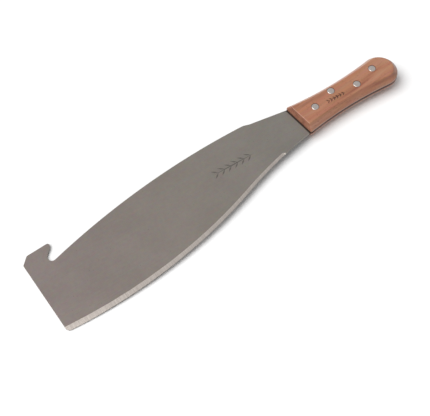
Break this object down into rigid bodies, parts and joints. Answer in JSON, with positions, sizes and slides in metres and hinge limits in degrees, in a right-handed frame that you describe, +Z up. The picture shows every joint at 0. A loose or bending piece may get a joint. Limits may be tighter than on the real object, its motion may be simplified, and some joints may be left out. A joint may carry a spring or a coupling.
{
  "type": "cane knife",
  "caption": "Cane knife with a wide bellied blade, a small hook at the square end, a full tang and a riveted wooden handle.",
  "frame": {"origin": "middle of the four-rivet pattern, on the flat underside of the handle", "axes": "+X from the handle to the blade's end, +Y from the spine towards the cutting edge, +Z up through the blade's upper face"},
  "size_m": [0.4756, 0.1119, 0.022],
  "materials": {
    "blade_steel": "rolled sheet steel, satin, with a brighter ground bevel along the cutting edge",
    "handle_wood": "steamed beech, thinly varnished",
    "rivet_aluminium": "satin"
  },
  "bodies": {
    "root": {"blade": "blade_steel", "upper_scale": "handle_wood", "lower_scale": "handle_wood", "rivet_cap_1": "rivet_aluminium", "rivet_cap_2": "rivet_aluminium", "rivet_cap_3": "rivet_aluminium", "rivet_cap_4": "rivet_aluminium", "rivet_pin_1": "rivet_aluminium", "rivet_pin_2": "rivet_aluminium", "rivet_pin_3": "rivet_aluminium", "rivet_pin_4": "rivet_aluminium"}
  },
  "joints": []
}
